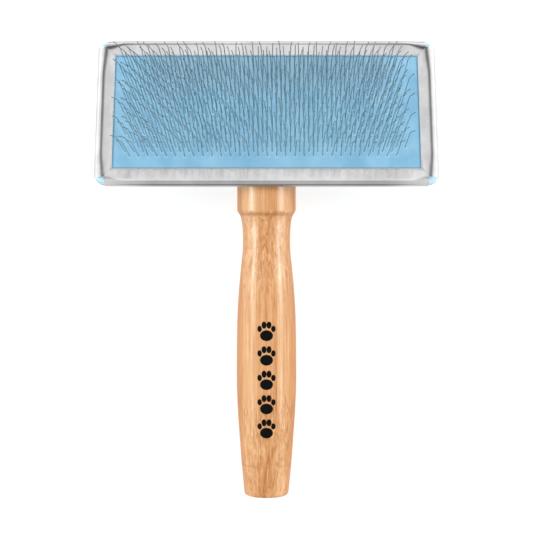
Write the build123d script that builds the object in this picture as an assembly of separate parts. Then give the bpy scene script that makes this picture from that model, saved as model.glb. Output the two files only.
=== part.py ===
from build123d import *

import math
import os

# Slicker brush lying on its back: +Y runs from the handle to the head, +X across the head, +Z up out of the
# pins' side. The origin is the centre of the flat on the hub's back, on which the brush rests. Millimetres.

# ---- driving dimensions ----
head_width = 125.0  # across the two side strips, outside
head_height = 57.6  # across the top and bottom strips, outside
head_tilt = 21.0  # the head leans back from the handle's line, degrees
opening_width = 111.9  # pad seen between the side strips
opening_height = 44.7
trim_half = 1.9  # half the thickness of the clamped frame
sheet = 0.45  # strip metal
side_bead = 3.2  # depth of the side strips' flatter rolled edge
back_flange = 6.6  # from the head's outside to the back flange's inner edge
bead_end_x = 4.4  # the top and bottom rolls stop this far from the head's side
bead_end_y = 3.4  # the side rolls stop this far from the head's top and bottom
corner_radius = 3.4
play = 0.05  # clearance of the folded strips on the moulding

handle_length = 117.5
collar_length = 10.7
butt_radius = 8.17
collar_radius = 10.85
belly_radius = 11.09
rest_gap = 0.05  # the handle's belly just clears the table
near_edge_rise = 13.28  # near edge of the head above the handle's axis
collar_lap = 0.467  # the head's near edge reaches this far over the collar

spigot_radius = 5.0
spigot_length = 34.0
bore_radius = 5.1
bore_length = 36.0
screw_y = -6.0  # from the handle's front end

pad_overlap = 2.3  # pad held under each flange
facing_thick = 0.6
cloth_thick = 0.6
foam_thick = 3.0
tray_wall = 2.0
tray_margin = 8.2  # from the head's outside to the raised back
rib_length, rib_width, rib_height = 30.0, 2.4, 1.2
tray_corner, tray_draft = 4.0, 12
foot_width = 13.0
ledge = 4.0  # the foam stops this far inside the opening's edge

wire_radius = 0.16
knee_bend, crown_bend = 1.0, 0.5
pin_rows = 22
staples_per_row = 15
pin_pitch = 3.33
row_pitch = 1.69
first_row = 4.95  # first row above the opening's handle-side edge
leg_height = 13.8  # pad to knee
tip_height = 6.5  # knee to tip
tip_back = 17.5  # the tip leans back towards the handle, degrees
fan_x = 0.0019  # the pins splay outwards, radians for each millimetre off the pad's centre
fan_y = 0.0030
lean_up = 2.0  # and all lean towards the head's far edge, degrees
row_offset = -0.39  # the whole pattern sits this part of a pitch off centre

# ---- worked out ----
axis_z = belly_radius + rest_gap
hub_length = 37.0
joint_y = -hub_length / 2  # the collar's face meets the hub here
half_w = head_width / 2
half_h = head_height / 2
inner = trim_half - sheet  # inside face of a flange, from the frame's mid-plane
core_half = inner - play
tilt = math.radians(head_tilt)
reach = half_h - trim_half
head_y = joint_y + reach * math.cos(tilt) - collar_lap
head_z = axis_z + near_edge_rise - reach * math.sin(tilt)
head_place = Location((0, head_y, head_z), (-head_tilt, 0, 0))
pad_top = inner - 0.02
cloth_top = pad_top - facing_thick
pad_floor = cloth_top - cloth_thick
foam_floor = pad_floor - foam_thick
tray_back = foam_floor - tray_wall
crown_level = pad_floor + wire_radius + 0.06  # the staples' crowns lie just inside the cloth


def slab(width, height, low, high):
    """A box on the head's centre, between two levels along the pad's normal."""
    return Pos(0, 0, (low + high) / 2) * Box(width, height, high - low)


def rounded_slab(width, height, low, high, radius):
    """A slab with rounded corners in plan."""
    return extrude(Pos(0, 0, low) * RectangleRounded(width, height, radius), high - low)


def strip_section(bead, flange_front, flange_back):
    """Section of a folded strip: two flanges joined by a rolled edge. Its outside is at +X, its mid-plane at Y 0."""
    centre = -bead
    outer = Curve() + [
        Line((-flange_front, trim_half), (centre, trim_half)),
        EllipticalCenterArc((centre, 0), bead, trim_half, start_angle=-90, arc_size=180),
        Line((centre, -trim_half), (-flange_back, -trim_half)),
        Line((-flange_back, -trim_half), (-flange_back, -inner)),
        Line((-flange_back, -inner), (centre, -inner)),
        EllipticalCenterArc((centre, 0), bead - sheet, inner, start_angle=-90, arc_size=180),
        Line((centre, inner), (-flange_front, inner)),
        Line((-flange_front, inner), (-flange_front, trim_half)),
    ]
    return make_face(outer)


def strip(length, bead, flange_front, offset):
    """A strip along X with its outside at Y = offset, before its ends are cut."""
    section = strip_section(bead, flange_front, back_flange)
    along = Plane(origin=(-length / 2, offset, 0), x_dir=(0, 1, 0), z_dir=(1, 0, 0))
    return extrude(along * section, length)


def mitre_wedge(across, deep):
    """The plan area of one strip on +Y, bounded by the 45 degree lines through two of the opening's corners."""
    span = 20.0
    outline = Polyline(
        (-across - span, deep + span),
        (-across, deep),
        (across, deep),
        (across + span, deep + span),
        close=True,
    )
    return Pos(0, 0, -10) * extrude(make_face(outline), 20)


def trim_strip(turned):
    """One folded strip on +Y, for the long sides, or one for the short sides when turned."""
    if turned:
        across, high, open_across, open_high = head_height, head_width, opening_height, opening_width
        bead, bead_end = side_bead, bead_end_y
    else:
        across, high, open_across, open_high = head_width, head_height, opening_width, opening_height
        bead, bead_end = trim_half, bead_end_x
    body = strip(across, bead, (high - open_high) / 2, high / 2)
    body &= mitre_wedge((open_across - play) / 2, (open_high - play) / 2)
    return body & Box(across - 2 * bead_end, 2 * high, 20)


def core_plate():
    """The plate inside the strips: rounded corners, edges that fill the rolled strips."""
    width, height = head_width - 2 * sheet - 2 * play, head_height - 2 * sheet - 2 * play
    plate = rounded_slab(width, height, -core_half, core_half, corner_radius)
    rims = plate.faces().sort_by(Axis.Z)
    plate = fillet(rims[0].edges() + rims[-1].edges(), core_half - 0.02)
    # Along the side strips the edge follows their flatter roll.
    bead_x = half_w - side_bead
    length = head_height - 2 * bead_end_y + 2 * play
    fill = Pos(bead_x, length / 2, 0) * Rot(90, 0, 0) * extrude(Ellipse(side_bead - sheet - play, core_half), length)
    side = Pos(bead_x + side_bead / 2, 0, 0) * Box(side_bead, length, 4) - fill
    return plate - side - mirror(side, Plane.YZ)


def raised_back():
    """The tray's back, with drafted sides and two moulded ribs."""
    width, height = head_width - 2 * tray_margin, head_height - 2 * tray_margin
    depth = -core_half - tray_back
    base = Pos(0, 0, -core_half + 0.5) * RectangleRounded(width, height, tray_corner)
    back = extrude(base, -(depth + 0.5), taper=tray_draft)
    for side in (-1, 1):
        rib = Pos(side * rib_length * 1.1, 0, tray_back) * RectangleRounded(rib_length, rib_width, rib_width * 0.49)
        back += extrude(rib, rib_height, both=True)
    return back


def hub():
    """The wedge between the tray and the handle's line: a round hub on a flat foot, with the spigot in front."""
    shoulder, nose_radius = hub_length * 0.45, collar_radius * 0.62
    outline = Polyline((0, 0), (collar_radius, 0), (collar_radius, shoulder))
    nose = Spline(
        (collar_radius, shoulder),
        (collar_radius * 0.86, hub_length * 0.8),
        (nose_radius, hub_length),
        tangents=[(0, 1), (-0.7, 1)],
    )
    end = Polyline((nose_radius, hub_length), (0, hub_length), (0, 0))
    body = revolve(make_face(Curve() + [outline, nose, end]), Axis.Y, 360)
    foot = extrude(SlotOverall(hub_length - 4, foot_width, rotation=90), 5)
    return Pos(0, joint_y, axis_z) * body + foot


def under_frame():
    """Everything on the back side of the strips' back flanges, in the head's own place."""
    deep = 60.0
    return head_place * (Pos(0, 0, -trim_half - play - deep / 2) * Box(200, 200, deep))


def head_body():
    """The moulding: plate, tray, hub and spigot, hollowed for the pad and the foam."""
    tray = head_place * (core_plate() + raised_back())
    shape = tray + (hub() & under_frame())
    spigot = Pos(0, joint_y + 1, axis_z) * Rot(90, 0, 0) * extrude(Circle(spigot_radius), spigot_length + 1)
    spigot = chamfer(spigot.faces().sort_by(Axis.Y)[0].edges(), 0.8)
    shape += spigot
    pad_room = slab(pad_width + 0.2, pad_height + 0.2, pad_floor, 5)
    foam_room = slab(foam_width + 0.1, foam_height + 0.1, foam_floor, pad_floor)
    shape -= head_place * (pad_room + foam_room)
    shape -= screw_pilot()
    return shape


pad_width = opening_width + 2 * pad_overlap
pad_height = opening_height + 2 * pad_overlap
foam_width = opening_width - 2 * ledge
foam_height = opening_height - 2 * ledge

# ---- retaining screw ----
screw_shank = 1.4
screw_head = 3.0
screw_length = 12.0
screw_base = axis_z - collar_radius + 0.35


def screw_pilot():
    """Hole in the spigot for the screw."""
    return Pos(0, joint_y + screw_y, screw_base) * extrude(Circle(screw_shank + 0.02), screw_length + 1)


def screw_seat():
    """Clearance hole and countersink through the collar's back wall."""
    hole = extrude(Circle(screw_shank + 0.25), axis_z)
    sink = Cone(screw_head + 0.1, screw_shank + 0.2, 2.4, align=(Align.CENTER, Align.CENTER, Align.MIN))
    mouth = Pos(0, 0, -2) * extrude(Circle(screw_head + 0.1), 2)
    return Pos(0, joint_y + screw_y, screw_base) * (hole + sink + mouth)


def retaining_screw():
    """Countersunk cross-recess screw, pointing up from the collar's back."""
    body = Cone(screw_head, screw_shank, 2.4, align=(Align.CENTER, Align.CENTER, Align.MIN))
    body += extrude(Circle(screw_shank), screw_length - 2)
    point = Cone(screw_shank, 0.3, 2, align=(Align.CENTER, Align.CENTER, Align.MIN))
    body += Pos(0, 0, screw_length - 2) * point
    for angle in (0, 90):
        body -= Rot(0, 0, angle) * Box(3.2, 0.7, 2.2)
    return Pos(0, joint_y + screw_y, screw_base) * body


# ---- handle ----
def handle():
    """Turned handle: collar, cove into the neck, long swell, and a butt with a small radius. Bored for the spigot."""
    # Stations down the handle from its front end, and the radius there.
    grip = [
        (collar_radius, -collar_length),
        (10.05, -12.5),
        (9.2, -15.1),
        (8.85, -18.5),
        (8.73, -22.5),
        (9.38, -31.4),
        (10.56, -44.8),
        (belly_radius, -66.5),
        (10.44, -90.0),
        (9.38, -105.0),
        (butt_radius, -handle_length),
    ]
    curve = Spline(*grip, tangents=[(0, -1), (-0.095, -1)])
    front = Polyline((0, 0), (collar_radius, 0), (collar_radius, -collar_length))
    butt = Polyline((butt_radius, -handle_length), (0, -handle_length), (0, 0))
    body = revolve(make_face(Curve() + [front, curve, butt]), Axis.Y, 360)
    body = fillet(body.faces().sort_by(Axis.Y)[0].edges(), 1.1)
    body = fillet(body.faces().sort_by(Axis.Y)[-1].edges(), 0.3)
    body -= Rot(90, 0, 0) * extrude(Circle(bore_radius), bore_length)
    body = Pos(0, joint_y, axis_z) * body
    return body - screw_seat()


# ---- pins ----
# Each row starts a part of a pitch further over than the last, in a cycle of four.
row_shift = (0.0, -0.5, 1.0, 0.5)


def ripple(number, step):
    """A repeatable value between -1 and 1 that looks uneven from one number to the next."""
    return math.sin(number * step + 0.7) * math.cos(number * step * 0.37 + 1.9)


def pin_points(x, y, number, leg_side):
    """Foot in the cloth, knee and tip of one pin, splayed from the pad's centre, with a little unevenness."""
    lean_x = fan_x * x + math.radians(-1.4 + 1.3 * leg_side + 1.5 * ripple(number, 12.9))
    lean_y = fan_y * y + math.radians(lean_up + 1.6 * ripple(number, 7.3))
    knee = (x + leg_height * math.tan(lean_x), y + leg_height * math.tan(lean_y), pad_top + leg_height)
    tip_x = lean_x + 0.0012 * x + math.radians(2.0 * ripple(number, 5.1))
    tip_y = lean_y - math.radians(tip_back + 2.0 * ripple(number, 9.7))
    tip = (knee[0] + tip_height * math.tan(tip_x), knee[1] + tip_height * math.tan(tip_y), knee[2] + tip_height)
    return (x, y, crown_level), knee, tip


def staple(x, y, number):
    """One wire staple: two bent legs joined by a crown in the back of the cloth."""
    foot_a, knee_a, tip_a = pin_points(x - pin_pitch / 2, y, 2 * number, 1)
    foot_b, knee_b, tip_b = pin_points(x + pin_pitch / 2, y, 2 * number + 1, -1)
    bends = [knee_bend, crown_bend, crown_bend, knee_bend]
    route = FilletPolyline(tip_a, knee_a, foot_a, foot_b, knee_b, tip_b, radius=bends)
    start = Plane(origin=tip_a, z_dir=route % 0)
    return sweep(start * Circle(wire_radius), route)


def pin_row(row):
    """All the staples of one row, as separate solids."""
    y = -opening_height / 2 + first_row + row * row_pitch
    shift = (row_shift[row % 4] + row_offset) * pin_pitch
    solids = []
    for place in range(staples_per_row):
        x = shift + (place - (staples_per_row - 1) / 2) * 2 * pin_pitch
        solids += staple(x, y, row * staples_per_row + place).solids()
    return head_place * Compound(children=solids)


# ---- pad ----
def pad_layer(width, height, low, high):
    """One flat layer of the pad in the head's place."""
    return head_place * slab(width, height, low, high)


def write(name, shape):
    export_step(shape, f"parts/{name}.step")


os.makedirs("parts", exist_ok=True)
long_strip, short_strip = trim_strip(False), trim_strip(True)
write("trim_top", head_place * long_strip)
write("trim_bottom", head_place * Rot(0, 0, 180) * long_strip)
write("trim_left", head_place * Rot(0, 0, 90) * short_strip)
write("trim_right", head_place * Rot(0, 0, -90) * short_strip)
write("head_body", head_body())
write("handle", handle())
write("retaining_screw", retaining_screw())
write("pad_facing", pad_layer(pad_width, pad_height, cloth_top, pad_top))
write("pad_cloth", pad_layer(pad_width, pad_height, pad_floor, cloth_top))
write("foam_cushion", pad_layer(foam_width, foam_height, foam_floor, pad_floor))
for row in range(pin_rows):
    write(f"pin_row_{row + 1:02d}", pin_row(row))
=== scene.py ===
import math

import bpy
import numpy as np
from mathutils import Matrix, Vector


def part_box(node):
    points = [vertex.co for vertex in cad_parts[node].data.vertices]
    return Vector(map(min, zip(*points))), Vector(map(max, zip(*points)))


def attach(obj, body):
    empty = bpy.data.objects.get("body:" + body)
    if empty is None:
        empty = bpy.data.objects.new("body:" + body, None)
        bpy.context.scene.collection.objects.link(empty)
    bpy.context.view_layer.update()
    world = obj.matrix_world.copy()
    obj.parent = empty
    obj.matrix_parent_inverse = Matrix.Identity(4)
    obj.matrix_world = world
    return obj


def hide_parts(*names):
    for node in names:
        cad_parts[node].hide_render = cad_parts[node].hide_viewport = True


# Slicker brush on its back: +Y from the handle to the head, +Z out of the pins' side. Metres, like the frame.
mm = 0.001
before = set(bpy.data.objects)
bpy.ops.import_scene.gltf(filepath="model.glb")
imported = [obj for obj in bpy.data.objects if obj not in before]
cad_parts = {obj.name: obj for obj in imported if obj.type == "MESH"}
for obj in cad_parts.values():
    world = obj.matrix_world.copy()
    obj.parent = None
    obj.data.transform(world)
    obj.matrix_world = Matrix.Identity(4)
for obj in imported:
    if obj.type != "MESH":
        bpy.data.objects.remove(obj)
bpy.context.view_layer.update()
body = "root"
print("frame:", len(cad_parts), "CAD nodes")


def quadsBetween(index):
    # Quads between neighbouring rows and columns of a table of vertex numbers.
    corners = [index[:-1, :-1], index[1:, :-1], index[1:, 1:], index[:-1, 1:]]
    return np.stack(corners, axis=-1).reshape(-1, 4)


def makePiece(name, points, quads, finish, nodes, smoothBelow=40):
    # One mesh piece that rides on the body and stands for the CAD nodes named.
    mesh = bpy.data.meshes.new(name)
    mesh.vertices.add(len(points))
    mesh.vertices.foreach_set("co", np.asarray(points, np.float32).ravel())
    mesh.loops.add(quads.size)
    mesh.loops.foreach_set("vertex_index", quads.astype(np.int32).ravel())
    mesh.polygons.add(len(quads))
    mesh.polygons.foreach_set("loop_start", np.arange(0, quads.size, 4, dtype=np.int32))
    mesh.update(calc_edges=True)
    mesh.validate()
    mesh.shade_smooth()
    mesh.set_sharp_from_angle(angle=math.radians(smoothBelow))
    mesh.materials.append(finish.material)
    piece = bpy.data.objects.new(name, mesh)
    bpy.context.scene.collection.objects.link(piece)
    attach(piece, body)
    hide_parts(*nodes)
    return piece


def ripple(number, step):
    # sin(step n + 0.7) cos(0.37 step n + 1.9): a repeatable value between -1 and 1 that looks uneven.
    return np.sin(number * step + 0.7) * np.cos(number * step * 0.37 + 1.9)


class Signal:
    # A socket in an expression. Every operator adds its Math node.
    def __init__(self, finish, socket):
        self.finish, self.socket = finish, socket

    def math(self, operation, *others):
        inputs = dict(enumerate((self,) + others))
        return self.finish.node("ShaderNodeMath", {"operation": operation}, inputs)

    def __add__(self, other):
        return self.math("ADD", other)

    def __sub__(self, other):
        return self.math("SUBTRACT", other)

    def __rsub__(self, other):
        return self.finish.node("ShaderNodeMath", {"operation": "SUBTRACT"}, {0: other, 1: self})

    def __mul__(self, other):
        return self.math("MULTIPLY", other)

    def __truediv__(self, other):
        return self.math("DIVIDE", other)

    def __gt__(self, other):
        return self.math("GREATER_THAN", other)

    __radd__, __rmul__ = __add__, __mul__

    def square(self):
        return self * self

    def between(self, low, high):
        # 0 below low and 1 above high, eased.
        ends = {"From Min": low, "From Max": high, "Value": self}
        return self.finish.node("ShaderNodeMapRange", {"interpolation_type": "SMOOTHSTEP"}, ends)


class Finish:
    # A material, or the world, and its node tree.
    def __init__(self, name, world=None, **fixed):
        self.material = world or bpy.data.materials.new(name)
        self.material.use_nodes = True
        self.tree = self.material.node_tree
        self.shader = self.tree.nodes["Background" if world else "Principled BSDF"]
        for socket, value in fixed.items():
            self.shader.inputs[socket.replace("_", " ")].default_value = value
        self.place = self.node("ShaderNodeTexCoord", output="Generated" if world else "Object")

    def node(self, kind, settings={}, inputs={}, output=0):
        made = self.tree.nodes.new(kind)
        for key, value in settings.items():
            if key == "stops":
                self.setStops(made.color_ramp, value)
            elif key == "interpolation":
                made.color_ramp.interpolation = value
            else:
                setattr(made, key, value)
        for key, value in inputs.items():
            self.feed(made.inputs[key], value)
        return Signal(self, made.outputs[output])

    def setStops(self, ramp, stops):
        first, last = ramp.elements
        ramp.elements.remove(last)
        first.position, first.color = stops[0]
        for position, colour in stops[1:]:
            ramp.elements.new(position).color = colour

    def feed(self, socket, value):
        if isinstance(value, Signal):
            self.tree.links.new(value.socket, socket)
        else:
            socket.default_value = value

    def give(self, **inputs):
        # Links or sets sockets of the shader itself.
        for socket, value in inputs.items():
            self.feed(self.shader.inputs[socket.replace("_", " ")], value)

    def turned(self, location=(0, 0, 0), rotation=(0, 0, 0), scale=(1, 1, 1), source=None, kind="POINT"):
        inputs = {"Vector": source or self.place, "Location": location, "Rotation": rotation, "Scale": scale}
        return self.node("ShaderNodeMapping", {"vector_type": kind}, inputs)

    def axes(self, vector):
        split = self.node("ShaderNodeSeparateXYZ", {}, {0: vector}).socket.node
        return [Signal(self, socket) for socket in split.outputs]

    def noise(self, vector, scale, detail=3, roughness=0.55, distortion=0.0):
        inputs = {"Vector": vector, "Scale": scale, "Detail": detail}
        inputs.update({"Roughness": roughness, "Distortion": distortion})
        return self.node("ShaderNodeTexNoise", {}, inputs)

    def mix(self, factor, first, second):
        # Inputs 0, 6 and 7 are the Mix node's factor and its two colours, and output 2 is the mixed colour.
        return self.node("ShaderNodeMix", {"data_type": "RGBA"}, {0: factor, 6: first, 7: second}, 2)

    def bump(self, height, distance, strength):
        inputs = {"Height": height, "Distance": distance, "Strength": strength}
        return self.node("ShaderNodeBump", {}, inputs)


def tone(red, green, blue):
    # A screen colour from 0 to 255 as the linear colour that the nodes take.
    share = np.array([red, green, blue]) / 255
    linear = np.where(share <= 0.04045, share / 12.92, ((share + 0.055) / 1.055) ** 2.4)
    return (*[float(part) for part in linear], 1.0)


# The head's own place and tilt.
head = {
    "width": 125.0 * mm,
    "height": 57.6 * mm,
    "tilt": math.radians(21),
    "openingWidth": 111.9 * mm,
    "openingHeight": 44.7 * mm,
    "padTop": 1.43 * mm,  # levels along the pad's normal, from the middle of the clamped frame
    "clothTop": 0.83 * mm,
    "padFloor": 0.23 * mm,
    "foamFloor": -2.77 * mm,
}
alongHead = np.array([0, math.cos(head["tilt"]), -math.sin(head["tilt"])])
outOfPad = np.array([0, math.sin(head["tilt"]), math.cos(head["tilt"])])
facingLow, facingHigh = (np.array(corner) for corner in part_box("pad_facing"))
headCentre = (facingLow + facingHigh) / 2 - outOfPad * (head["padTop"] + head["clothTop"]) / 2


def onHead(across, along, level):
    # Head coordinates to the frame: centre + x across + y up the head + z out of the pad.
    across, along, level = np.broadcast_arrays(across, along, level)
    sideways = np.stack([across, np.zeros_like(across), np.zeros_like(across)], axis=-1)
    return headCentre + sideways + along[..., None] * alongHead + level[..., None] * outOfPad


def headSpace(finish):
    # The same head coordinates inside a material.
    return finish.turned(tuple(headCentre), (-head["tilt"], 0, 0), kind="TEXTURE")


strips = {
    "half": 1.9 * mm,  # half the clamped thickness
    "innerFace": 0.35 * mm,  # how far the sheet's inner face lies inside the outer
    "lip": 0.4 * mm,  # the rolled-down edge along the opening
    "backFlange": 6.6 * mm,
    "cornerRadius": 4.0 * mm,
    "roundFrom": 0.3,  # share of the flange's width where it starts to follow the head's rounded corner
    "cornerRise": 0.14,  # share of its height that the flange gains next to a corner
    "deepening": 1.5,  # power with which the roll deepens towards a corner
    "crown": 0.06 * mm,  # the flange falls away slightly towards its roll
    "mitreGap": 0.03 * mm,
    "softness": 0.3 * mm,  # rounds each end where the mitre meets the roll's stop
    "tuck": 0.6 * mm,  # how much shorter the roll is than the flange at each end
    "wave": 0.012 * mm,  # unevenness of the sheet
    "waves": (173, 420),  # radians a metre
    "stations": 161,
    "crowding": 1.5,  # power with which the stations crowd towards the ends
    "lipPoints": 6,
    "flatPoints": 9,
    "rollPoints": 33,
    "rearPoints": 5,
    # Where the finish changes: distances out from the opening, then from the head's outline, then from x = 0.
    # The painted rim highlight along the opening's cut edge reaches this far:
    "rimHighlight": (0.1 * mm, 0.4 * mm),
    "strokesStart": (0.3 * mm, 1.0 * mm),
    "strokesStop": (2.0 * mm, 4.2 * mm),
    # Where the near strip's corners start to carry a painted highlight, out from the opening:
    "cornerHighlightOutside": (3.6 * mm, 4.6 * mm),
    # Painted shade along the outermost fold, at the sides, the ends and the far edge:
    "outlineShadeSides": (-0.5 * mm, -0.1 * mm),
    "outlineShadeEnds": (-0.6 * mm, -0.3 * mm),
    "outlineShadeFar": (-1.1 * mm, -0.6 * mm),
    "cornerHighlightAside": (40 * mm, 60 * mm),
}
# Each strip in turn: CAD node, depth of its rolled edge, then for its first and second end how far the roll stops
# from the head's corner, how deep it gets there and how far along the strip it takes to deepen.
stripTable = {
    "farStrip": ("trim_top", 2.3 * mm, (3.1 * mm, 3.1 * mm), (6.0 * mm, 6.0 * mm), (7.0 * mm, 7.0 * mm)),
    "leftStrip": ("trim_left", 3.5 * mm, (2.9 * mm, 2.3 * mm), (5.0 * mm, 5.7 * mm), (8.0 * mm, 10.0 * mm)),
    "nearStrip": ("trim_bottom", 1.9 * mm, (3.7 * mm, 3.7 * mm), (5.0 * mm, 5.0 * mm), (6.5 * mm, 6.5 * mm)),
    "rightStrip": ("trim_right", 3.5 * mm, (2.3 * mm, 2.9 * mm), (5.7 * mm, 5.0 * mm), (10.0 * mm, 8.0 * mm)),
}


def stripFinish():
    # Bright tin plate: nearly a mirror, with fine rolling lines and soft smudges, and bright strokes on the near
    # strip. A painted highlight lies on the cut edge along the opening and on the near strip's corners, and
    # painted shade on the outermost fold.
    steel = Finish("brightStrip", Metallic=1.0, Roughness=0.2)
    space = headSpace(steel)
    smudge = steel.noise(space, 90, detail=4)
    lines = steel.noise(steel.turned(scale=(2600, 60, 60), source=space), 1, detail=2)
    strokes = steel.noise(steel.turned(scale=(1300, 110, 110), source=space), 1, detail=3).between(0.5, 0.75)
    x, y = steel.axes(space)[:2]
    aside, away, near = x.math("ABSOLUTE"), y.math("ABSOLUTE"), 0 - y > 0
    beyondX = aside - head["openingWidth"] / 2
    beyondY = away - head["openingHeight"] / 2
    # Painted highlight: the cut edge along the opening is mixed pale, with less metal in it.
    rimHighlight = 1 - beyondX.math("MAXIMUM", beyondY).between(*strips["rimHighlight"])
    stroked = strokes * beyondY.between(*strips["strokesStart"])
    stroked = stroked * (1 - beyondY.between(*strips["strokesStop"])) * near
    colour = steel.mix(smudge.between(0.3, 0.75), tone(216, 216, 216), tone(236, 236, 237))
    colour = steel.mix(stroked * 0.6, colour, tone(255, 255, 255))
    colour = steel.mix(rimHighlight, colour, tone(228, 231, 234))
    # Painted shade darkens the outermost fold round the outline.
    outlineShadeSides = (aside - head["width"] / 2).between(*strips["outlineShadeSides"])
    outlineShadeEnds = (away - head["height"] / 2).between(*strips["outlineShadeEnds"])
    outlineShadeFar = (y - head["height"] / 2).between(*strips["outlineShadeFar"])
    outlineShade = (outlineShadeSides * 0.35).math("MAXIMUM", outlineShadeEnds * 0.6).math("MAXIMUM", outlineShadeFar * 0.8)
    colour = steel.mix(outlineShade, colour, tone(120, 120, 122))
    # Painted highlight on the near strip's corners: mixed pale, with less metal in it.
    corners = aside.between(*strips["cornerHighlightAside"]) * beyondY.between(*strips["cornerHighlightOutside"]) * near
    colour = steel.mix(corners, colour, tone(236, 236, 236))
    rough = 0.09 + 0.08 * smudge + 0.05 * lines + 0.15 * stroked
    metallic = (1 - 0.6 * rimHighlight) * (1 - 0.35 * corners)
    steel.give(Base_Color=colour, Roughness=rough, Metallic=metallic, Normal=steel.bump(lines, 0.003 * mm, 0.3))
    return steel


def stripSection(width, inset):
    # From the opening outwards: a quarter-round lip, a flat flange, half an ellipse round the outside and the back
    # flange. Each point lies start + share x (the ellipse's depth) from the opening, at its own level.
    lipTurn = np.linspace(math.pi, math.pi / 2, strips["lipPoints"])
    flat = np.linspace(0, 1, strips["flatPoints"])[1:]
    rollTurn = np.linspace(math.pi / 2, -math.pi / 2, strips["rollPoints"])[1:-1]
    rear = np.linspace(0, 1, strips["rearPoints"])
    edge, top = strips["lip"], strips["half"] - inset
    lipRadius = edge - inset
    rows = [
        (edge + lipRadius * np.cos(lipTurn), 0 * lipTurn, top - lipRadius + lipRadius * np.sin(lipTurn)),
        (edge + (width - edge) * flat, -flat, top + 0 * flat),
        (width - inset * np.cos(rollTurn), np.cos(rollTurn) - 1, top * np.sin(rollTurn)),
        (width - strips["backFlange"] * rear, rear - 1, -top + 0 * rear),
    ]
    return (np.concatenate(column)[:, None] for column in zip(*rows))


def stripSurface(width, half, total, roll, *ends):
    # Length: each point's run ends on the 45 degree mitre or at the roll's stop, whichever is nearer, blended.
    # Near an end the ellipse deepens with (share of the arc)^1.5, and the flange rises and follows the head's
    # rounded corner.
    run = np.linspace(-1, 1, strips["stations"])
    run = np.sign(run) * (1 - (1 - np.abs(run)) ** strips["crowding"])
    stop, cornerRoll, arc = (np.where(run > 0, second, first) for first, second in ends)
    nearEnd = np.clip(1 - (1 - np.abs(run)) * half / arc, 0, 1) ** strips["deepening"]
    depth = roll + (cornerRoll - roll) * nearEnd
    rollStop, soft, radius = total - stop, strips["softness"], strips["cornerRadius"]
    roundFrom, (slow, fast) = strips["roundFrom"], strips["waves"]
    loops = []
    for inset in (0.0, strips["innerFace"]):
        start, share, thick = stripSection(width, inset)
        outward = start + share * depth
        across = np.clip(outward / width, 0, 1)
        reach = rollStop - soft * np.log(np.exp((rollStop - half + strips["mitreGap"] - outward) / soft) + 1)
        length = (reach - strips["tuck"] * np.clip(2 * across - 1, 0, 1) ** 2) * run
        rise = 1 + strips["cornerRise"] * nearEnd * np.sin(math.pi * across)
        level = thick * np.where(thick > 0, rise - strips["crown"] * across**2 / strips["half"], 1)
        past = np.clip(np.abs(length) - (total - radius), 0, radius)
        turnedIn = np.clip((across - roundFrom) / (1 - roundFrom), 0, 1)
        outward = outward - (radius - np.sqrt(radius**2 - past**2)) * turnedIn
        sway = strips["wave"] * np.sin(length * fast + 1.3) * np.sin(length * slow)
        loops.append(np.stack([length, outward, level + sway * (thick > 0)], axis=-1))
    outer, inner = loops
    return np.concatenate([outer, inner[::-1]])


def makeStrip(name, side, finish):
    # Side 0 is the far strip, 1 the left, 2 the near and 3 the right, a quarter turn each.
    node, roll, *ends = stripTable[name]
    sizes = [(head["openingWidth"], head["width"]), (head["openingHeight"], head["height"])]
    (opening, total), (acrossOpening, acrossTotal) = sizes if side % 2 == 0 else sizes[::-1]
    width = (acrossTotal - acrossOpening) / 2
    shape = stripSurface(width, opening / 2, total / 2, roll, *ends)
    along, out, level = shape[..., 0], shape[..., 1] + acrossOpening / 2, shape[..., 2]
    turn = side * math.pi / 2
    x = along * math.cos(turn) - out * math.sin(turn)
    y = along * math.sin(turn) + out * math.cos(turn)
    points = onHead(x, y, level)
    rows, columns = points.shape[:2]
    index = np.arange(rows * columns).reshape(rows, columns)
    around = np.concatenate([index, index[:1]])
    skin = rows // 2
    startCap = np.stack([index[:skin, 0], index[::-1][:skin, 0]])
    endCap = np.stack([index[:skin, -1], index[::-1][:skin, -1]])
    quads = np.concatenate([quadsBetween(around)[:, ::-1], quadsBetween(startCap)[:, ::-1], quadsBetween(endCap)])
    return makePiece(name, points.reshape(-1, 3), quads, finish, [node])


brightStrip = stripFinish()
for side, name in enumerate(stripTable):
    makeStrip(name, side, brightStrip)
print("strips: 4")


pins = {
    "rows": 22,
    "staples": 15,  # in each row, with two pins each
    "pitch": 3.33 * mm,
    "rowPitch": 1.69 * mm,
    "firstRow": 4.95 * mm,
    "shift": (0.0, -0.5, 1.0, 0.5),  # in pitches, for each row of four
    "shiftLess": 0.39,
    "leg": 13.8 * mm,  # pad to knee
    "tip": 6.5 * mm,
    "tipBack": math.radians(17.5),
    "tipFan": 1.2,  # radians that a tip splays beyond its leg for each metre
    "fanX": 1.9,  # splay in radians for each metre off the pad's centre
    "fanLoss": (0.5, 0.8),  # share of it that the first and the last row have lost
    "endFan": math.radians(5.6),  # what the last row's end pins gain instead
    "halfRow": 50 * mm,
    "fanY": 3.0,
    "leanX": math.radians(-1.4),
    "leanY": math.radians(2),
    "legsTogether": math.radians(1.3),  # each leg of a staple leans towards the other
    "unevenX": math.radians(1.5),
    "unevenY": math.radians(1.6),
    "unevenTip": math.radians(2.0),
    "crown": 0.45 * mm,  # level of the wire joining two legs
    "kneeBend": 1.0 * mm,
    "kneePoints": 4,
    "footBend": 0.5 * mm,
    "footPoints": 3,
    "radius": 0.16 * mm,
    "sides": 6,
    # Levels where the wire takes its painted reflection, and where the tips darken:
    "reflectionFrom": (9 * mm, 17 * mm),  # levels where the finish changes
    "tipsFrom": (20.6 * mm, 21.3 * mm),
}


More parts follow.
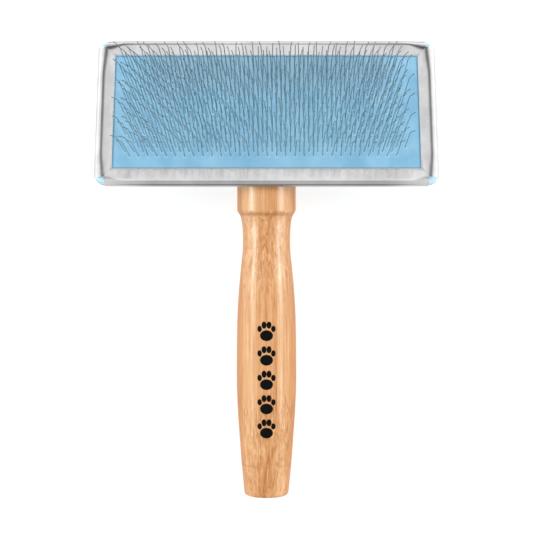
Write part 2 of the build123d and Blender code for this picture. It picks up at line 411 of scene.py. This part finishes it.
def legLine(x, y, number, legSide, far):
    # Foot, knee and tip of every pin in a row: the leg leans away from the pad's centre and the tip bends back. In
    # the far rows most of the splay is left to the end pins: fan x (1 - loss) + end fan (x / half the row)^4.
    first, last = pins["fanLoss"]
    loss = first + (last - first) * far
    ends = pins["endFan"] * loss / last * np.sign(x) * (x / pins["halfRow"]) ** 4
    leanX = pins["fanX"] * x * (1 - loss) + ends + pins["leanX"]
    leanX = leanX + pins["legsTogether"] * legSide + pins["unevenX"] * ripple(number, 12.9)
    leanY = pins["leanY"] + pins["fanY"] * y + pins["unevenY"] * ripple(number, 7.3)
    foot = np.stack([x, y + 0 * x, pins["crown"] + 0 * x], axis=-1)
    kneeLevel = head["padTop"] + pins["leg"] + 0 * x
    knee = np.stack([x + pins["leg"] * np.tan(leanX), y + pins["leg"] * np.tan(leanY), kneeLevel], axis=-1)
    tipX = leanX + pins["tipFan"] * x + pins["unevenTip"] * ripple(number, 5.1)
    tipY = leanY - pins["tipBack"] - pins["unevenTip"] * ripple(number, 9.7)
    rise = pins["tip"]
    tip = knee + np.stack([rise * np.tan(tipX), rise * np.tan(tipY), rise + 0 * x], axis=-1)
    return foot, knee, tip


def bend(before, corner, after, radius, steps):
    # Points of a rounded corner: a quadratic curve from one side of the corner to the other.
    inward = before - corner
    onward = after - corner
    inward = inward / np.linalg.norm(inward, axis=-1, keepdims=True)
    onward = onward / np.linalg.norm(onward, axis=-1, keepdims=True)
    reach = radius / np.tan(np.arccos(np.clip((inward * onward).sum(-1), -1, 1)) / 2)[..., None]
    share = np.linspace(0, 1, steps)[:, None, None]
    start, end = corner + inward * reach, corner + onward * reach
    return list((1 - share) ** 2 * start + 2 * share * (1 - share) * corner + share ** 2 * end)


def rowFeet(row):
    # Places along the head and across it of a row's staples.
    y = -head["openingHeight"] / 2 + pins["firstRow"] + row * pins["rowPitch"]
    shift = (pins["shift"][row % len(pins["shift"])] - pins["shiftLess"]) * pins["pitch"]
    place = np.arange(pins["staples"])
    return shift + (place - (pins["staples"] - 1) / 2) * 2 * pins["pitch"], y


def pinRow(row, finish):
    # Every staple's route, with a ring of points round each station. The ring's axes come from the head's own
    # "along" direction, which no part of a staple runs in.
    x, y = rowFeet(row)
    number = 2 * (row * pins["staples"] + np.arange(pins["staples"]))
    far = row / (pins["rows"] - 1)
    footA, kneeA, tipA = legLine(x - pins["pitch"] / 2, y, number, 1, far)
    footB, kneeB, tipB = legLine(x + pins["pitch"] / 2, y, number + 1, -1, far)
    kneeBend, footBend = (pins["kneeBend"], pins["kneePoints"]), (pins["footBend"], pins["footPoints"])
    route = [tipA, *bend(tipA, kneeA, footA, *kneeBend), *bend(kneeA, footA, footB, *footBend)]
    route += [*bend(footA, footB, kneeB, *footBend), *bend(footB, kneeB, tipB, *kneeBend), tipB]
    route = np.stack(route, axis=1)
    ahead = np.gradient(route, axis=1)
    ahead /= np.linalg.norm(ahead, axis=-1, keepdims=True)
    sideA = np.cross(ahead, np.array([0.0, 1.0, 0.0]))
    sideA /= np.linalg.norm(sideA, axis=-1, keepdims=True)
    sideB = np.cross(sideA, ahead)
    turn = np.arange(pins["sides"]) * 2 * math.pi / pins["sides"]
    ring = np.cos(turn)[:, None] * sideA[:, :, None] + np.sin(turn)[:, None] * sideB[:, :, None]
    local = route[:, :, None] + pins["radius"] * ring
    points = onHead(local[..., 0], local[..., 1], local[..., 2])
    staples, stations, sides = points.shape[:3]
    index = np.arange(stations * sides).reshape(stations, sides)
    around = quadsBetween(np.concatenate([index, index[:, :1]], axis=1))
    # Two quads close the hexagon at each tip.
    caps = np.array([index[0, :4], index[0, [0, 3, 4, 5]], index[-1, [3, 2, 1, 0]], index[-1, [5, 4, 3, 0]]])
    one = np.concatenate([around, caps])
    quads = (one[None] + (np.arange(staples) * stations * sides)[:, None, None]).reshape(-1, 4)
    name, node = f"pinRow{row + 1:02d}", f"pin_row_{row + 1:02d}"
    return makePiece(name, points.reshape(-1, 3), quads, finish, [node], smoothBelow=70)


def pinFinish():
    # Drawn steel wire: cool grey near the pad, a painted warm and pale reflection from the knee up, darker and
    # duller at the tips.
    steel = Finish("pinWire", Metallic=1.0, Roughness=0.3)
    wear = steel.noise(steel.place, 600, detail=2)
    level = steel.axes(headSpace(steel))[2]
    upper = level.between(*pins["reflectionFrom"])
    tips = level.between(*pins["tipsFrom"])
    colour = steel.mix(wear.between(0.3, 0.7), tone(160, 163, 163), tone(190, 192, 190))
    # Painted reflection: from the knee up the wire is mixed warm and pale.
    colour = steel.mix(upper, colour, tone(188, 174, 166))
    steel.give(Base_Color=steel.mix(tips, colour, tone(120, 122, 124)), Roughness=0.26 + 0.12 * wear + 0.1 * tips)
    return steel


pinWire = pinFinish()
for row in range(pins["rows"]):
    # Without their shadows the pad between the pins stays as clear as under broad soft light.
    pinRow(row, pinWire).visible_shadow = False
print("pins:", pins["rows"] * pins["staples"] * 2)


pad = {
    "overlap": 2.3 * mm,
    "ledge": 4.0 * mm,
    "dimple": 0.10 * mm,  # how far a pin draws the facing down
    "dimpleWide": 0.34 * mm,
    "pucker": 0.10 * mm,  # the raised crescent round it
    "puckerAt": 0.62 * mm,
    "puckerWide": 0.24 * mm,
    "puckerRound": 0.62,  # share of the crescent's height that it keeps all round
    "puckerTurn": 0.38,  # share that it gains towards the handle and loses away from it
    "reach": 2.2 * mm,  # no pin draws the facing further off than this
    "swell": 0.02 * mm,  # unevenness of the facing
    "swells": (310, 270),  # radians a metre
    "facingGrid": (417, 177),
    "clothGrid": (61, 31),
    "foamGrid": (81, 41),
    "foamEdge": 0.8 * mm,
    "weave": 0.7 * mm,
    # Where the finish changes: levels beside the facing's top, head coordinates, distances out from the opening.
    # Levels of the painted shade in the dimples and of the painted highlight on the crescents:
    "dimpleShade": (-0.06 * mm, 0.01 * mm),
    "raised": (0.025 * mm, 0.07 * mm),
    "shadedFrom": (2 * mm, 20 * mm),
    "shadedWithin": (36 * mm, 52 * mm),
    # Out from the opening, where the painted shadow along its edge lies:
    "border": (-0.7 * mm, -0.1 * mm),
}


def puckered(x, y):
    # Sum over the pins of a dimple, -d exp(-(r/w)^2), and a crescent on the handle's side, p exp(-((r-a)/b)^2).
    height = np.zeros_like(x)
    for row in range(pins["rows"]):
        across, line = rowFeet(row)
        near = np.abs(y[0] - line) < pad["reach"]
        legs = np.sort(np.concatenate([across - pins["pitch"] / 2, across + pins["pitch"] / 2]))
        closest = legs[np.abs(x[:, :1] - legs[None]).argmin(axis=1)][:, None]
        dx, dy = x[:, near] - closest, y[:, near] - line
        distance = np.hypot(dx, dy)
        facing = pad["puckerRound"] - pad["puckerTurn"] * dy / np.maximum(distance, 1e-6)
        crescent = pad["pucker"] * facing * np.exp(-(((distance - pad["puckerAt"]) / pad["puckerWide"]) ** 2))
        height[:, near] += crescent - pad["dimple"] * np.exp(-((distance / pad["dimpleWide"]) ** 2))
    swellX, swellY = pad["swells"]
    return height + pad["swell"] * np.sin(x * swellX + 1.0) * np.sin(y * swellY + 0.4)


def layer(name, node, size, levels, grid, finish, relief=None, edge=0.0):
    # A closed slab: a top sheet with its relief, a flat bottom sheet, and a wall between their borders. Closer to
    # the border than edge, both sheets draw in by edge (1 - sqrt(1 - (1 - distance / edge)^2)).
    (width, height), (low, high), (columns, rows) = size, levels, grid
    acrossIt, upIt = (np.linspace(-side / 2, side / 2, count) for side, count in zip(size, grid))
    x, y = np.meshgrid(acrossIt, upIt, indexing="ij")
    rounding = 0 * x
    if edge:
        inset = np.minimum(width / 2 - np.abs(x), height / 2 - np.abs(y))
        rounding = edge * (1 - np.sqrt(1 - (1 - np.clip(inset / edge, 0, 1)) ** 2))
    bump = relief(x, y) if relief else 0 * x
    top = onHead(x, y, high - rounding + bump)
    bottom = onHead(x, y, low + rounding)
    count = columns * rows
    index = np.arange(count).reshape(columns, rows)
    rim = np.concatenate([index[:-1, 0], index[-1, :-1], index[:0:-1, -1], index[0, ::-1]])
    walls = quadsBetween(np.stack([rim, rim + count]))
    quads = np.concatenate([quadsBetween(index), quadsBetween(index + count)[:, ::-1], walls])
    points = np.concatenate([top.reshape(-1, 3), bottom.reshape(-1, 3)])
    return makePiece(name, points, quads, finish, [node], smoothBelow=60)


def rubberFinish():
    # Sky-blue latex facing: matt, with a fine leathery grain and cloudy colour, painted shade in the dimples, a
    # painted shadow along the opening, a painted highlight on the crescents, and greyer where the pins shade it
    # most.
    rubber = Finish("padRubber", Roughness=0.6, Specular_IOR_Level=0.35)
    space = headSpace(rubber)
    cloud = rubber.noise(space, 130, detail=4)
    grain = rubber.noise(space, 2600, detail=3)
    x, y, level = rubber.axes(space)
    aside, away, raised = x.math("ABSOLUTE"), y.math("ABSOLUTE"), level - head["padTop"]
    colour = rubber.mix(cloud.between(0.3, 0.72), tone(119, 169, 199), tone(135, 183, 209))
    # Painted shade in the dimples round each pin.
    colour = rubber.mix((1 - raised.between(*pad["dimpleShade"])) * 0.5, colour, tone(94, 146, 177))
    # Painted highlight on the raised crescents.
    colour = rubber.mix(raised.between(*pad["raised"]) * 0.4, colour, tone(168, 208, 229))
    shaded = y.between(*pad["shadedFrom"]) * (1 - aside.between(*pad["shadedWithin"]))
    colour = rubber.mix(shaded * 0.35, colour, tone(116, 136, 144))
    beyond = (aside - head["openingWidth"] / 2).math("MAXIMUM", away - head["openingHeight"] / 2)
    # Painted shadow along the opening, where the facing runs under the flange.
    colour = rubber.mix(beyond.between(*pad["border"]) * 0.75, colour, tone(72, 118, 146))
    colour = rubber.mix(grain.between(0.55, 0.8) * 0.25, colour, tone(156, 197, 220))
    rubber.give(Base_Color=colour, Roughness=0.5 + 0.2 * cloud, Normal=rubber.bump(grain, 0.02 * mm, 0.4))
    return rubber


def clothFinish():
    # Plain-woven cotton backing: warp and weft as two crossed sine waves.
    cloth = Finish("wovenBacking", Roughness=0.9)
    x, y = cloth.axes(headSpace(cloth))[:2]
    warp, weft = ((axis * (2 * math.pi / pad["weave"])).math("SINE") for axis in (x, y))
    weave = warp * weft * 0.5 + 0.5
    fuzz = cloth.noise(cloth.place, 1800)
    colour = cloth.mix(weave * 0.7 + fuzz * 0.3, tone(188, 184, 172), tone(232, 229, 220))
    cloth.give(Base_Color=colour, Normal=cloth.bump(weave, 0.08 * mm, 0.7))
    return cloth


def foamFinish():
    # Open-cell foam: small round cells, with painted shade inside them.
    foam = Finish("foamPad", Roughness=0.95)
    cells = foam.node("ShaderNodeTexVoronoi", {}, {"Vector": foam.place, "Scale": 1400})
    wall = cells.between(0.15, 0.6)
    shade = foam.noise(foam.place, 120)
    # Painted shade inside each cell.
    colour = foam.mix(wall, tone(150, 146, 138), tone(226, 222, 212))
    colour = foam.mix(shade.between(0.4, 0.8) * 0.3, colour, tone(214, 200, 170))
    foam.give(Base_Color=colour, Normal=foam.bump(wall, 0.15 * mm, 0.6))
    return foam


def outline(beyond):
    # Size of a layer that reaches this far beyond the opening.
    return head["openingWidth"] + 2 * beyond, head["openingHeight"] + 2 * beyond


padRubber, wovenBacking, foamPad = rubberFinish(), clothFinish(), foamFinish()
wide, narrow = outline(pad["overlap"]), outline(-pad["ledge"])
levels = head["clothTop"], head["padTop"]
facing = layer("padFacing", "pad_facing", wide, levels, pad["facingGrid"], padRubber, puckered)
levels = head["padFloor"], head["clothTop"]
cloth = layer("clothBacking", "pad_cloth", wide, levels, pad["clothGrid"], wovenBacking)
levels = head["foamFloor"], head["padFloor"]
edge = pad["foamEdge"]
foam = layer("foamCushion", "foam_cushion", narrow, levels, pad["foamGrid"], foamPad, edge=edge)
print("pad: facing, cloth and foam")


handle = {
    "axis": 11.14 * mm,  # height of the handle's axis
    "front": -18.5 * mm,  # its front end
    # Painted shade is laid in the turned crease:
    "shadedCrease": 12.3 * mm,  # from the front end to the turned crease behind the collar
    "joint": 6.5 * mm,  # a dark glue line this far to the right of the axis
    "jointTurns": 97 * mm,  # behind here the glue line slants outwards
    "jointSlant": 0.28,
    "layer": 9.3 * mm,  # a glue line runs through the blank this far above the axis
    "half": 12,  # the strips lie between -12 and 12 mm
    # Left edge in mm and tone of each laminated strip, below and above that glue line.
    "lower": ((-12, 0.42), (-8.9, 0.72), (-2.9, 0.4), (1.6, 0.5), (3.6, 0.72), (6.8, 0.48), (9.4, 0.3)),
    "upper": ((-12, 0.25), (-7.1, 0.9), (-4.0, 0.62), (-0.6, 0.36), (3.9, 0.85), (6.8, 0.42), (9.8, 0.4)),
    # Where the look changes, as distances down the handle from the frame's origin.
    "neckFrom": (28 * mm, 32 * mm),
    "neckTo": (50 * mm, 66 * mm),
    "coatFades": (48 * mm, 80 * mm),
    "jointFrom": (56 * mm, 64 * mm),
    "tailFrom": (92 * mm, 112 * mm),
    # Where painted shade darkens the handle's sides:
    "shadedSides": (0.72, 0.97),  # in sines of the angle round the handle from straight up
    "markFirst": -73.6 * mm,  # centre of the printed mark nearest the head
    "markStep": 9.0 * mm,
    "marks": 5,
    "markSize": 1.17 * mm,
    # The paw's ellipses, in mark sizes: centre across and along, half width and half length.
    "paw": (
        (0, -1.35, 2.05, 1.7),
        (-2.15, 0.75, 0.72, 1.0),
        (-0.78, 1.95, 0.78, 1.12),
        (0.78, 1.95, 0.78, 1.12),
        (2.15, 0.75, 0.72, 1.0),
    ),
}


def strand(wood, vector, fine, long, **more):
    # Noise drawn out along the handle: 1 / fine across the fibres and 1 / long down them.
    return wood.noise(wood.turned(scale=(1 / fine, 1 / long, 1 / fine), source=vector), 1, **more)


def stripTones(wood, x, stops):
    # Tone of each laminated strip, by its place across the handle, with sharp steps.
    half = handle["half"]
    share = (x + half * mm) / (2 * half * mm)
    table = [((edge + half) / (2 * half), (value, value, value, 1)) for edge, value in stops]
    return wood.node("ShaderNodeValToRGB", {"interpolation": "CONSTANT", "stops": table}, {0: share})


def pawMask(wood, x, y):
    # Five ellipses, a pad and four toes, repeated along the handle.
    step, size = handle["markStep"], handle["markSize"]
    start = handle["markFirst"] + step / 2
    along = step / 2 - (start - y).math("MODULO", step)
    ink = None
    for centreX, centreY, wide, tall in handle["paw"]:
        inX = (x - centreX * size) / (wide * size)
        inY = (along - centreY * size) / (tall * size)
        spot = 1 - (inX.square() + inY.square()).between(0.9, 1.1)
        ink = ink.math("MAXIMUM", spot) if ink else spot
    return ink * (y > start - handle["marks"] * step) * (start - y > 0)


def bambooFinish():
    # Laminated bamboo: strips of different tone with sharp joints, long fibres, short wavy figure at the neck and
    # the butt, dark bundles, painted shade in the crease under the collar, painted shade on the sides, printed
    # paws, and lacquer that is glossy at the neck and dull on the sides and down the handle.
    wood = Finish("bambooLaminate", Roughness=0.4, Coat_Roughness=0.2, Specular_IOR_Level=0.12)
    place = wood.turned((0, 0, -handle["axis"]))
    wander = wood.noise(wood.turned(scale=(40, 14, 40), source=place), 1, detail=1)
    x, y, up = wood.axes(place)
    swayed = x + (wander - 0.5) * (0.9 * mm)
    lower, upper = (stripTones(wood, swayed, handle[level]) for level in ("lower", "upper"))
    above = (up + (wander - 0.5) * (0.6 * mm)) > handle["layer"]
    strip = lower * (1 - above) + upper * above
    fibres = strand(wood, place, 0.34 * mm, 22 * mm, detail=3)
    veins = strand(wood, place, 0.9 * mm, 60 * mm, detail=2)
    flecks = strand(wood, place, 0.45 * mm, 3.2 * mm, detail=2, roughness=0.6).between(0.58, 0.7)
    figure = strand(wood, place, 4.0 * mm, 24 * mm, detail=3, distortion=0.6)
    scales = strand(wood, place, 1.2 * mm, 5.5 * mm, detail=4, roughness=0.62, distortion=1.2)
    down = 0 - y
    tail = down.between(*handle["tailFrom"])
    neck = down.between(*handle["neckFrom"]) * (1 - down.between(*handle["neckTo"]))
    wavy = 0.15 + 0.85 * neck + 0.85 * tail
    value = 0.18 + 0.52 * strip * (1 - 0.3 * tail) + 0.7 * (fibres - 0.5) + 0.6 * (veins - 0.5)
    value = value + 0.55 * (figure - 0.5) + 1.5 * wavy * (scales - 0.5) + 0.02 * tail
    stops = (
        (0.0, tone(162, 104, 62)),
        (0.28, tone(194, 138, 90)),
        (0.55, tone(210, 162, 115)),
        (0.8, tone(223, 181, 139)),
        (1.0, tone(235, 207, 171)),
    )
    colour = wood.node("ShaderNodeValToRGB", {"stops": stops}, {0: value})
    colour = wood.mix(flecks * (0.2 + 0.5 * wavy), colour, tone(182, 123, 76))
    slant = (down - handle["jointTurns"]).math("MAXIMUM", 0.0) * handle["jointSlant"]
    glue = 1 - (swayed - slant - handle["joint"]).math("ABSOLUTE").between(0.05 * mm, 0.4 * mm)
    glue = glue * down.between(*handle["jointFrom"]) * veins.between(0.35, 0.6)
    colour = wood.mix(glue * 0.6, colour, tone(168, 104, 56))
    ragged = (fibres + scales - 1) * (1.6 * mm)
    fold = (y - handle["front"] + handle["shadedCrease"] + ragged).math("ABSOLUTE")
    shadedCrease = 1 - fold.between(0.1 * mm, 1.1 * mm)
    # Painted shade in the turned crease under the collar, with a ragged edge.
    colour = wood.mix(shadedCrease * 0.6, colour, tone(172, 106, 58))
    shadedSides = (x / (x.square() + up.square()).math("SQRT")).math("ABSOLUTE").between(*handle["shadedSides"])
    # Painted shade: the sides are mixed darker, and their lacquer is thinner.
    colour = wood.mix(shadedSides * 0.5, colour, tone(176, 114, 66))
    ink = pawMask(wood, x, y) * (up > 0)
    colour = wood.mix(ink, colour, tone(4, 4, 5))
    grain = wood.bump(fibres + flecks * -0.5, 0.03 * mm, 0.4)
    rough = 0.36 + 0.14 * fibres + 0.1 * ink
    coat = (0.8 - 0.75 * ink) * (1 - 0.9 * shadedSides) * (1 - 0.8 * down.between(*handle["coatFades"]))
    wood.give(Base_Color=colour, Roughness=rough, Coat_Weight=coat, Normal=grain)
    return wood


bamboo = bambooFinish()
print("handle: bamboo")


def plasticFinish():
    # Pale blue moulding: smooth, with faint flow marks and a fine surface.
    plastic = Finish("headPlastic", Roughness=0.35)
    flow = plastic.noise(plastic.turned(scale=(40, 90, 40)), 1, detail=3, distortion=0.8)
    fine = plastic.noise(plastic.place, 3000, detail=2)
    colour = plastic.mix(flow.between(0.3, 0.7), tone(168, 203, 220), tone(182, 214, 229))
    plastic.give(Base_Color=colour, Roughness=0.3 + 0.12 * flow, Normal=plastic.bump(fine, 0.01 * mm, 0.3))
    return plastic


def screwFinish():
    # Zinc-plated steel with turned rings, and painted shade in the recess above the face.
    steel = Finish("screwSteel", Metallic=1.0, Roughness=0.3)
    face = float(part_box("retaining_screw")[0][2])
    recessShade = (steel.axes(steel.place)[2] - face).between(0.4 * mm, 2.0 * mm)
    rings = steel.noise(steel.turned(scale=(300, 300, 3000)), 1)
    colour = steel.mix(recessShade * 0.6, tone(206, 205, 198), tone(120, 118, 110))
    steel.give(Base_Color=colour, Roughness=0.22 + 0.2 * rings, Normal=steel.bump(rings, 0.01 * mm, 0.4))
    return steel


def dress(node, finish):
    # A CAD node keeps its mesh and takes a finish.
    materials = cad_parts[node].data.materials
    materials.clear()
    materials.append(finish.material)


dress("handle", bamboo)
dress("head_body", plasticFinish())
dress("retaining_screw", screwFinish())
print("CAD nodes: finished")


studio = {
    "floorSize": 3.0,
    "floorGlow": 0.72,
    # Brightness of the parts of the room.
    "room": 1.0,
    "gap": 0.05,
    "gapMiddle": 0.24,
    "ceiling": 0.48,
    "panel": 0.50,
    "horizon": 0.55,
    "boxes": 1.05,
    "glint": 9.0,
    # Where they begin and end, in sines of the angle to the side (Aside), up the handle (Along) or above (Up).
    "ceilingAside": (0.20, 0.385),
    "ceilingNarrows": 0.22,  # at the far end
    "farAlong": (0.72, 0.82),
    "boxesAside": (0.475, 0.65),
    "boxesUp": (0.2, 0.35),
    "glintAside": (0.78, 0.82),
    "glintOutside": (0.90, 0.94),
    "glintAlong": (0.24, 0.34),
    "gapMiddleAlong": (0.46, 0.54),
    "gapMiddlePast": (0.66, 0.74),
    "panelAlong": (0.32, 0.46),
    "panelPast": (0.85, 0.95),
    "panelAside": (0.04, 0.11),
    "panelLoss": 0.32,
    "horizonUp": (0.2, 0.32),
    "horizonAlong": (0.3, 0.6),
    "ceilingUp": (0.15, 0.75),
    "ceilingLoss": 0.3,
    "topLight": 6.6,
    "topSize": 0.6,
    "topAway": 1.3,
    "lens": 100.0,
    "sensor": 36.0,
    "cameraPlace": (0.0, -0.01778, 0.56047),
    "cameraTilt": -3.41,
}


def paperFloor():
    # White paper that glows a little, so that it stays white out to its edges.
    finish = Finish("paperFloor", Roughness=0.9, Specular_IOR_Level=0.0)
    tooth = finish.noise(finish.place, 900)
    finish.give(Base_Color=finish.mix(tooth, (0.35, 0.35, 0.35, 1), (0.37, 0.37, 0.37, 1)))
    finish.give(Emission_Color=(1, 1, 1, 1), Emission_Strength=studio["floorGlow"])
    side = studio["floorSize"] / 2
    corners = [(-side, -side, 0), (side, -side, 0), (side, side, 0), (-side, side, 0)]
    mesh = bpy.data.meshes.new("floor")
    mesh.from_pydata(corners, [], [(0, 1, 2, 3)])
    mesh.materials.append(finish.material)
    floor = bpy.data.objects.new("floor", mesh)
    bpy.context.scene.collection.objects.link(floor)


def softRoom():
    # Brightness by direction: a bright box low at each side with a dark gap inside it, a strip light in each box
    # beside the handle, a grey ceiling with one lighter panel towards the head's far side, and a pale horizon.
    world = bpy.data.worlds.new("softRoom")
    bpy.context.scene.world = world
    room = Finish("softRoom", world)
    x, y, z = room.axes(room.place)
    aside = x.math("ABSOLUTE")

    def above(axis, edge):
        return axis.between(*studio[edge])

    def below(axis, edge):
        return 1 - axis.between(*studio[edge])

    far = above(y, "farAlong")
    boxes = above(aside, "boxesAside") * (1 - far * above(z, "boxesUp"))
    ceiling = below(aside + studio["ceilingNarrows"] * far, "ceilingAside")
    dim = studio["gapMiddle"] * above(y, "gapMiddleAlong") * below(y, "gapMiddlePast")
    dim = dim * (1 - boxes) * (1 - ceiling)
    panel = above(y, "panelAlong") * below(y, "panelPast") * (1 - studio["panelLoss"] * above(aside, "panelAside"))
    horizon = below(z, "horizonUp") * above(y, "horizonAlong")
    middle = studio["ceiling"] * (1 - studio["ceilingLoss"] * below(z, "ceilingUp")) + studio["panel"] * panel
    glint = above(aside, "glintAside") * below(aside, "glintOutside")
    glint = glint * below(y.math("ABSOLUTE"), "glintAlong") * (z > 0)
    level = studio["gap"] + dim + ceiling * middle + boxes * studio["boxes"] + glint * studio["glint"]
    level = level + horizon * studio["horizon"]
    white = room.node("ShaderNodeCombineColor", {}, {0: level, 1: level, 2: level})
    room.give(Color=white, Strength=studio["room"])


def lightStudio():
    softRoom()
    light = bpy.data.lights.new("overhead", "AREA")
    light.size, light.energy = studio["topSize"], studio["topLight"]
    lamp = bpy.data.objects.new("overhead", light)
    bpy.context.scene.collection.objects.link(lamp)
    # In line with the pins, so that the pad between them is lit down to their feet.
    lamp.location = outOfPad * studio["topAway"]
    lamp.rotation_euler = (-head["tilt"], 0, 0)
    lamp.visible_glossy = False


def placeCamera():
    lens = bpy.data.cameras.new("camera")
    lens.lens, lens.sensor_width = studio["lens"], studio["sensor"]
    lens.clip_start, lens.clip_end = 0.01, 20.0
    camera = bpy.data.objects.new("camera", lens)
    bpy.context.scene.collection.objects.link(camera)
    camera.location = studio["cameraPlace"]
    camera.rotation_euler = (math.radians(studio["cameraTilt"]), 0, 0)
    bpy.context.scene.camera = camera


paperFloor()
lightStudio()
placeCamera()
bpy.context.scene.view_settings.view_transform = "Standard"
print("studio: floor, lights and camera")
